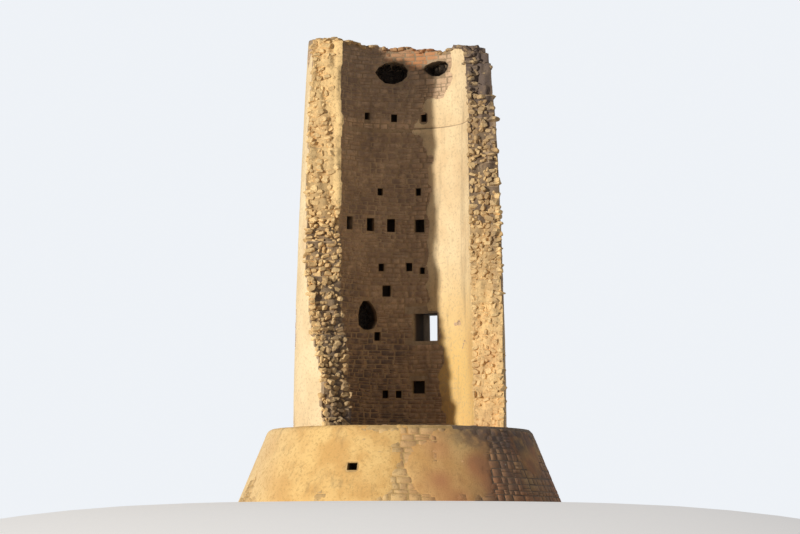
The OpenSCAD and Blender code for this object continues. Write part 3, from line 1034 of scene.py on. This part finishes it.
def floor_sheet():
    """Worn earth and lime over the top of the base, thin and uneven."""
    marks = np.arange(-4.2, 4.21, 0.105)
    x, y = np.meshgrid(marks, marks)
    flat = np.stack([x, y, np.full_like(x, floor_z)], -1)
    lift = 0.012 + 0.014 * noise(flat, 0.8, SEED + 20) + 0.006 * noise(flat, 0.25, SEED + 21)
    lift = np.where(np.hypot(x, y) > FLOOR_R, -0.01, lift)
    front = flat + np.stack([0 * x, 0 * x, lift], -1)
    back = flat - (0, 0, 0.04)
    free = np.array([[on_floor(a, b) for a, b in zip(*row)] for row in zip(x, y)])
    keep = free[:-1, :-1] | free[1:, :-1] | free[:-1, 1:] | free[1:, 1:]
    keep &= np.hypot(x, y)[:-1, :-1] < FLOOR_R + 0.05
    points, quads, rounded = closed_sheet(front, back, keep, True)
    build("floor_fill", points, quads, [], np.zeros(len(points)), floor_fill, rounded)


floor_sheet()

floor_spots = []
for x in np.arange(-FLOOR_R, FLOOR_R, 0.36):
    for y in np.arange(-FLOOR_R, FLOOR_R, 0.36):
        a, b = x + rng.uniform(-0.12, 0.12), y + rng.uniform(-0.12, 0.12)
        if on_floor(a, b) and math.hypot(a, b) < FLOOR_R - 0.1 and rng.random() < 0.45:
            half = (rng.uniform(0.10, 0.22), rng.uniform(0.10, 0.2), rng.uniform(0.025, 0.05))
            floor_spots.append([a, b, floor_z, *half, rng.uniform(0, 180), rng.uniform(0.0, 0.7)])
rubble("floor_stones", floor_spots, 4.0, facing_stone)


# Stage, light and camera

def stage_material():
    """A pale floor that keeps the tower's shadow and looks as pale from every side."""
    made = bpy.data.materials.new("pale floor")
    made.use_nodes = True
    tree = made.node_tree
    tree.nodes.clear()
    plain = joined(tree, "ShaderNodeBsdfDiffuse", None, Color=(0.72, 0.71, 0.69, 1))
    glow = joined(tree, "ShaderNodeEmission", None, Color=(0.83, 0.82, 0.80, 1), Strength=0.42)
    dark = joined(tree, "ShaderNodeEmission", None, Color=(0, 0, 0, 1), Strength=0.0)
    seen = joined(tree, "ShaderNodeLightPath").outputs["Is Camera Ray"]
    lit = joined(tree, "ShaderNodeMixShader", None, _0=seen, _1=dark.outputs[0], _2=glow.outputs[0])
    both = joined(tree, "ShaderNodeAddShader", None, _0=plain.outputs[0], _1=lit.outputs[0])
    out = joined(tree, "ShaderNodeOutputMaterial")
    tree.links.new(both.outputs[0], out.inputs["Surface"])
    return made


def ground_height(r):
    """A mound, flat under the tower, that falls away below the camera's line of sight."""
    past_edge = max(0.0, r - FLAT)
    return -0.011 * past_edge ** 2 if past_edge < 40 else -17.6 - 0.88 * (past_edge - 40)


def ground_point(r, n):
    """A point of the stage's ring of that radius."""
    turn = math.radians(n * 360 / ROUND)
    return r * math.cos(turn), r * math.sin(turn), ground_height(r) - 0.001


rings = [3.0, 5.0, FLAT] + [FLAT + 1.5 * n for n in range(1, 120)]
ground_points = [ground_point(r, n) for r in rings for n in range(ROUND)]
ground_faces = []
for inner in range(0, (len(rings) - 1) * ROUND, ROUND):
    outer = inner + ROUND
    for n in range(ROUND):
        following = (n + 1) % ROUND
        ground_faces.append([outer + n, outer + following, inner + following, inner + n])
ground_faces.append(list(range(ROUND)))
ground_mesh = bpy.data.meshes.new("ground")
ground_mesh.from_pydata(ground_points, [], ground_faces)
ground_mesh.polygons.foreach_set("use_smooth", [True] * len(ground_faces))
ground = bpy.data.objects.new("ground", ground_mesh)
bpy.context.scene.collection.objects.link(ground)
ground_mesh.materials.append(stage_material())
ground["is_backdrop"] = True


def sun(name, azimuth_deg, elevation_deg, strength, spread, colour):
    """A soft distant lamp; its azimuth says where it stands, seen from the tower."""
    lamp = bpy.data.lights.new(name, "SUN")
    lamp.energy, lamp.angle, lamp.color = strength, math.radians(spread), colour
    a, e = math.radians(azimuth_deg), math.radians(elevation_deg)
    place = Vector((math.cos(a) * math.cos(e), math.sin(a) * math.cos(e), math.sin(e)))
    made = bpy.data.objects.new(name, lamp)
    made.rotation_mode = "QUATERNION"
    made.rotation_quaternion = place.to_track_quat("Z", "Y")
    bpy.context.scene.collection.objects.link(made)


sun("key", 225.5, 5.5, 3.05, 3, (1.0, 0.965, 0.90))
sun("fill", 75, 30, 0.42, 60, (0.97, 0.96, 1.0))

world = bpy.data.worlds.new("plain sky")
bpy.context.scene.world = world
world.use_nodes = True
sky = world.node_tree
sky.nodes.clear()
seen = joined(sky, "ShaderNodeLightPath").outputs
clear = maths(sky, "MAXIMUM", seen["Is Camera Ray"], seen["Is Glossy Ray"])
clear = maths(sky, "MAXIMUM", clear, seen["Is Transmission Ray"])
light_sky = joined(sky, "ShaderNodeBackground", None, Color=(0.98, 0.96, 1.0, 1), Strength=0.26)
pale_sky = joined(sky, "ShaderNodeBackground", None, Color=(0.86, 0.89, 0.93, 1), Strength=1.0)
mixed = joined(sky, "ShaderNodeMixShader", None,
               _0=clear, _1=light_sky.outputs[0], _2=pale_sky.outputs[0])
sky_out = joined(sky, "ShaderNodeOutputWorld")
sky.links.new(mixed.outputs[0], sky_out.inputs["Surface"])

camera = bpy.data.objects.new("camera", bpy.data.cameras.new("camera"))
bpy.context.scene.collection.objects.link(camera)
bpy.context.scene.camera = camera
camera.data.lens = 136
camera.data.sensor_width = 36
camera.data.clip_end = 1000
camera.location = (0, -100, -2)
aim = Vector((0, 0, top_z / 2)) - camera.location
camera.rotation_mode = "QUATERNION"
camera.rotation_quaternion = aim.to_track_quat("-Z", "Y")
bpy.context.scene.view_settings.view_transform = "Standard"

low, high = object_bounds()
